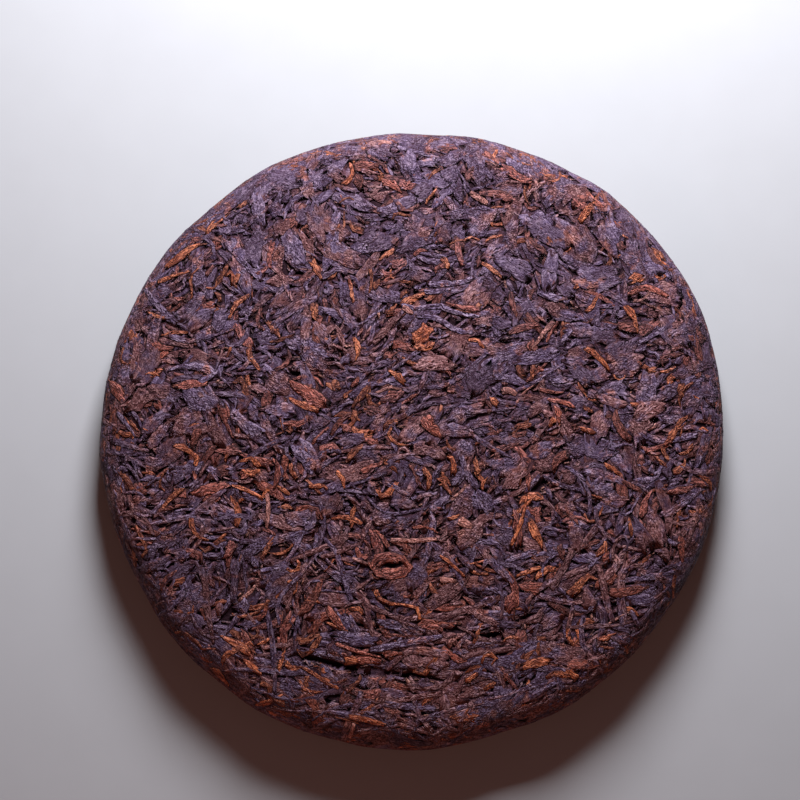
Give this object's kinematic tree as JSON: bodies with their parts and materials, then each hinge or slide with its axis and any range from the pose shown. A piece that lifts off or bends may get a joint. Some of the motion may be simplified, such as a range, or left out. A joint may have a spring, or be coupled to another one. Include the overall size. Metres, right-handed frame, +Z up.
{
  "type": "pressed tea cake",
  "caption": "Round cake of pressed dark ripe tea leaves with a domed face, a rounded edge and a flat back with a central dimple.",
  "frame": {"origin": "on the table, under the middle of the cake's bounding box", "axes": "+Z up out of the domed face, +Y towards the top of the face as the picture shows it, +X towards its right"},
  "size_m": [0.2012, 0.1992, 0.0245],
  "materials": {
    "pressed_leaf": "dry pressed leaf, dark purple-brown with orange-brown buds and thin black gaps, matt with a faint sheen on the broad leaves"
  },
  "bodies": {
    "root": {"tea_cake": "pressed_leaf"}
  },
  "joints": []
}
